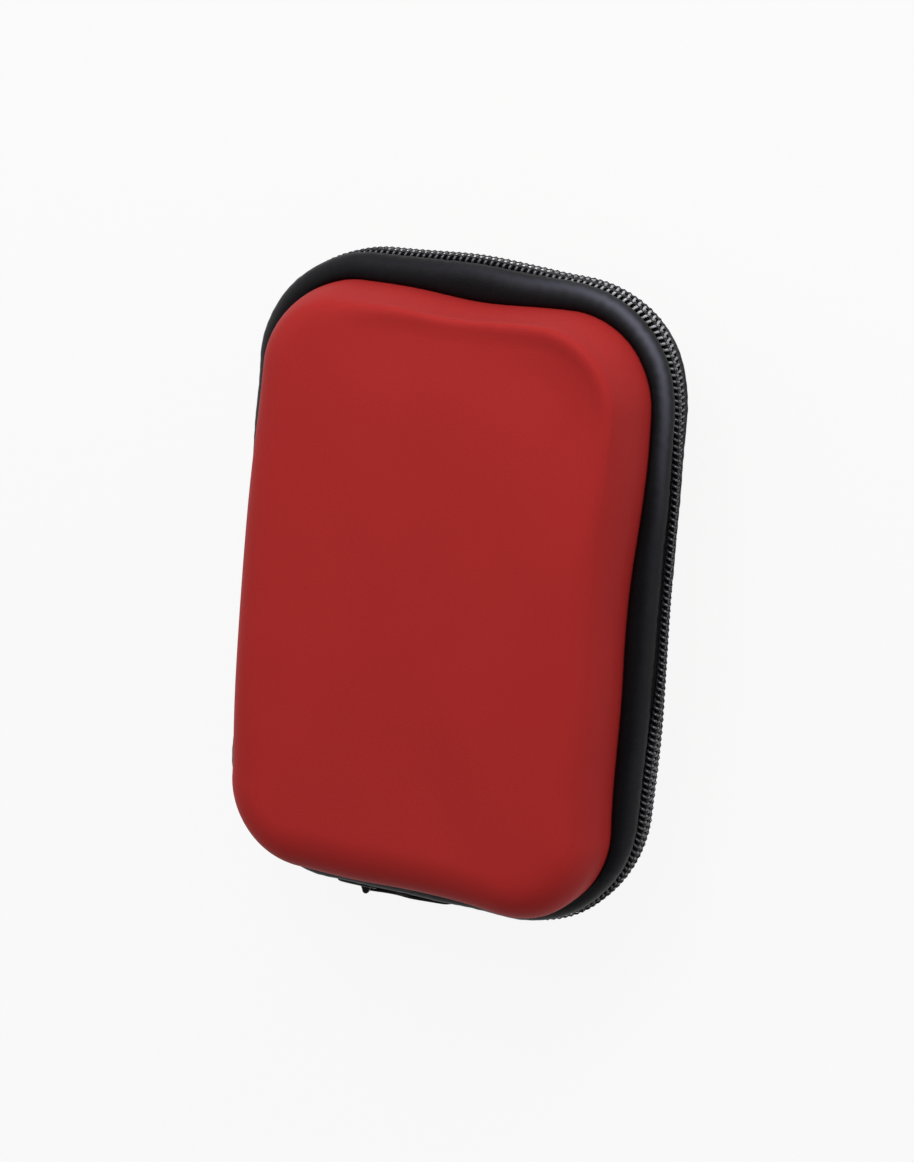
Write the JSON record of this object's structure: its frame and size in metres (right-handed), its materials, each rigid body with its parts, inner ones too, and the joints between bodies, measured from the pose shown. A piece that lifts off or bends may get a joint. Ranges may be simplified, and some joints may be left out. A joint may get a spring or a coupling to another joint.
{
  "type": "carrying case",
  "caption": "Hard-shell zip case: two moulded foam halves in a smooth red cover, padded black rim bands, coil zip on three sides, cloth spine, lid opens flat.",
  "frame": {"origin": "centre of the back face, on the surface that the case lies on", "axes": "+Z out of the front face, +Y towards the case's top, +X towards the zipped long side; the cloth spine is on the -X side"},
  "size_m": [0.1029, 0.1525, 0.056],
  "materials": {
    "cover": "satin smooth coated cloth",
    "foam": "matte moulded foam",
    "lining": "matte knitted cloth",
    "band": "soft sheen padded cloth",
    "zip_tape": "matte woven tape",
    "coil": "satin",
    "binding": "matte ribbed tape",
    "spine": "matte woven cloth",
    "elastic": "matte ribbed elastic",
    "net": "matte knitted net",
    "slider_metal": "satin black enamel"
  },
  "bodies": {
    "base": {"rear_core": "foam", "rear_cover": "cover", "rear_lining": "lining", "rear_rim_band": "band", "rear_zip_tape": "zip_tape", "rear_coil": "coil", "rear_end_stops": "coil", "rear_inner_binding": "binding", "rear_spine_strip": "spine", "elastic_strap": "elastic", "strap_tacks": "elastic"},
    "lid": {"front_core": "foam", "front_cover": "cover", "front_lining": "lining", "front_rim_band": "band", "front_zip_tape": "zip_tape", "front_coil": "coil", "front_end_stops": "coil", "front_inner_binding": "binding", "front_spine_strip": "spine", "pocket_net": "net", "pocket_hem": "elastic", "pocket_binding": "binding"},
    "slider": {"slider_body": "slider_metal", "bail_pin": "slider_metal"},
    "pull": {"pull_tab": "slider_metal"}
  },
  "joints": [
    {"name": "lid_hinge", "type": "hinge", "parent": "base", "child": "lid", "pos_m": [-0.0515, 0, 0.028], "axis": [0, -1, 0], "range_deg": [0, 180]},
    {"name": "slider_travel", "type": "slide", "parent": "base", "child": "slider", "axis": [1, 0, 0], "range_m": [0, 0.034]},
    {"name": "pull_swing", "type": "hinge", "parent": "slider", "child": "pull", "pos_m": [-0.015, -0.07675, 0.028], "axis": [0, 0, -1], "range_deg": [0, 175]}
  ]
}
